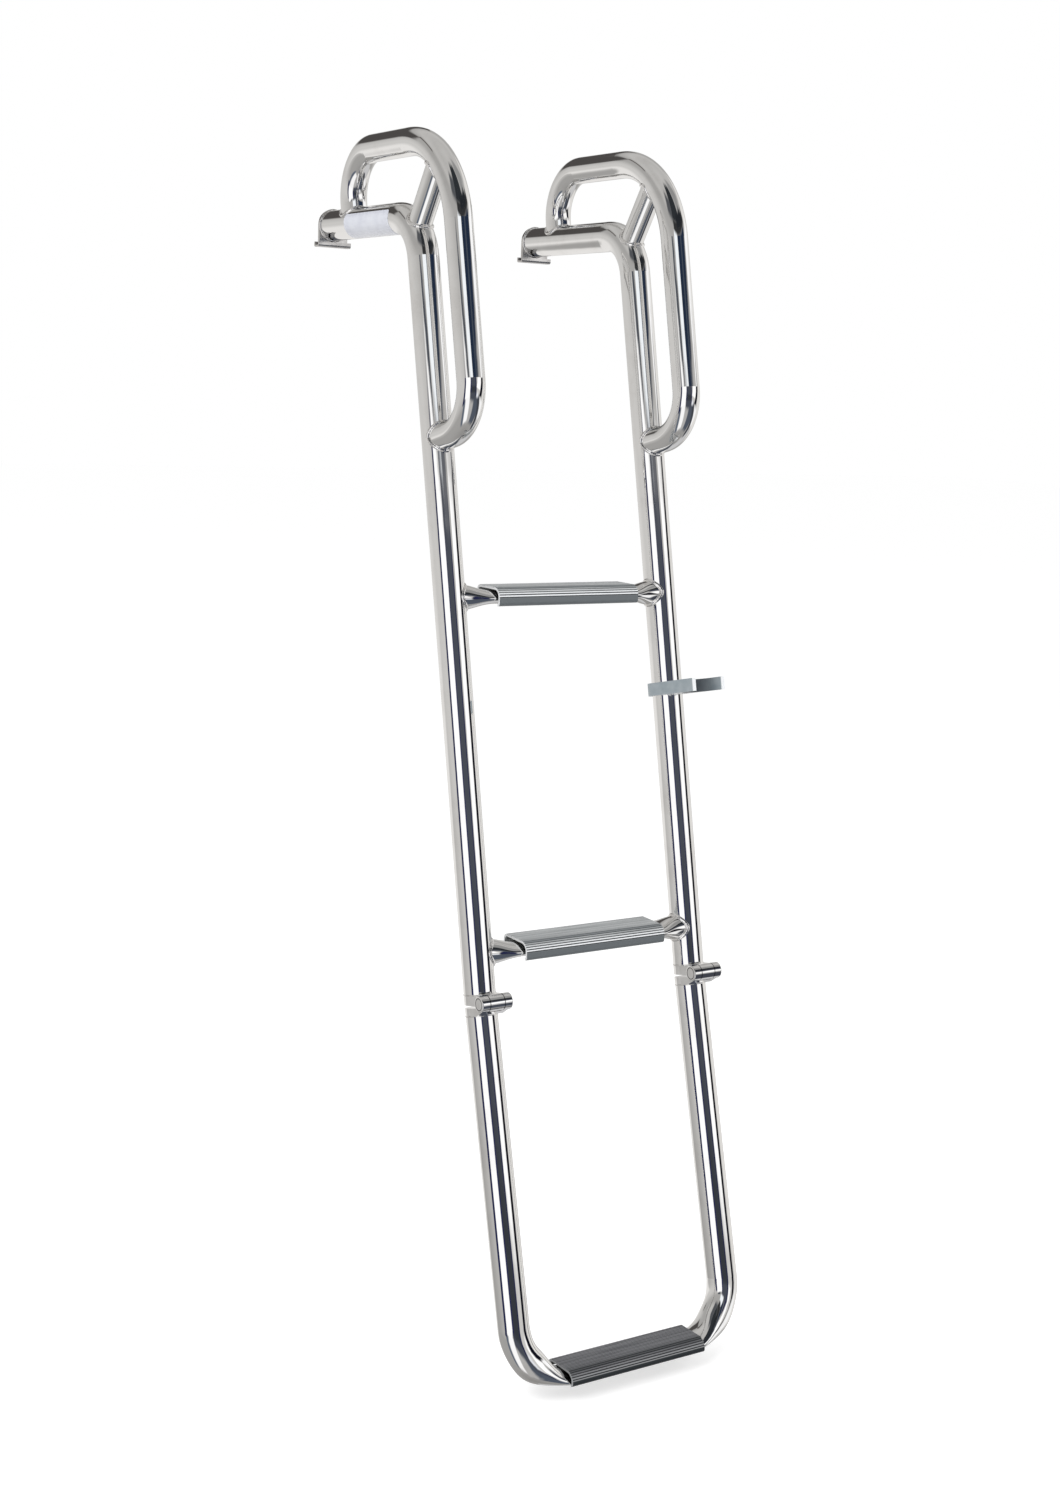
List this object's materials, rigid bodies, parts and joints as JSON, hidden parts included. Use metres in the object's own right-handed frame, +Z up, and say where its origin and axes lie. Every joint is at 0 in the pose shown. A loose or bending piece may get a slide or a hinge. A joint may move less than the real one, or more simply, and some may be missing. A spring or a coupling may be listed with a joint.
{
  "type": "boat ladder",
  "caption": "Hook-on boat ladder in polished tube with grab handles, ribbed treads, a folding lower section and a stowage clip.",
  "frame": {"origin": "middle of the left hook foot's flat underside, where it stands in its bracket", "axes": "+X across the ladder to the right foot, +Y inboard along the arms, +Z up; the arms and treads are level and the stiles lean"},
  "size_m": [0.2308, 0.3882, 0.9584],
  "materials": {
    "polished_tube": "mirror polished stainless steel with pale weld rings",
    "hinge_steel": "cast and lightly polished stainless steel",
    "plate_steel": "dull stainless plate",
    "tread_grey": "ribbed mid grey plastic",
    "tread_charcoal": "ribbed charcoal plastic, slightly streaky",
    "clip_plastic": "satin grey-blue plastic with lighter cut ends"
  },
  "bodies": {
    "ladder": {"left_stile": "polished_tube", "left_handle": "polished_tube", "left_strut": "polished_tube", "left_end_plate": "plate_steel", "left_hook_strip": "plate_steel", "left_upper_fitting": "hinge_steel", "right_stile": "polished_tube", "right_handle": "polished_tube", "right_strut": "polished_tube", "right_end_plate": "plate_steel", "right_hook_strip": "plate_steel", "right_upper_fitting": "hinge_steel", "upper_rung": "polished_tube", "middle_rung": "polished_tube", "upper_tread": "tread_grey", "middle_tread": "tread_grey", "stowage_clip": "clip_plastic"},
    "lower_section": {"left_lower_fitting": "hinge_steel", "left_hinge_pin": "hinge_steel", "right_lower_fitting": "hinge_steel", "right_hinge_pin": "hinge_steel", "lower_frame": "polished_tube", "bottom_tread": "tread_charcoal"}
  },
  "joints": [
    {"name": "fold", "type": "hinge", "parent": "ladder", "child": "lower_section", "pos_m": [0.1, -0.30696, -0.57495], "axis": [-1, 0, 0], "range_deg": [-2.9, 177.1]}
  ]
}
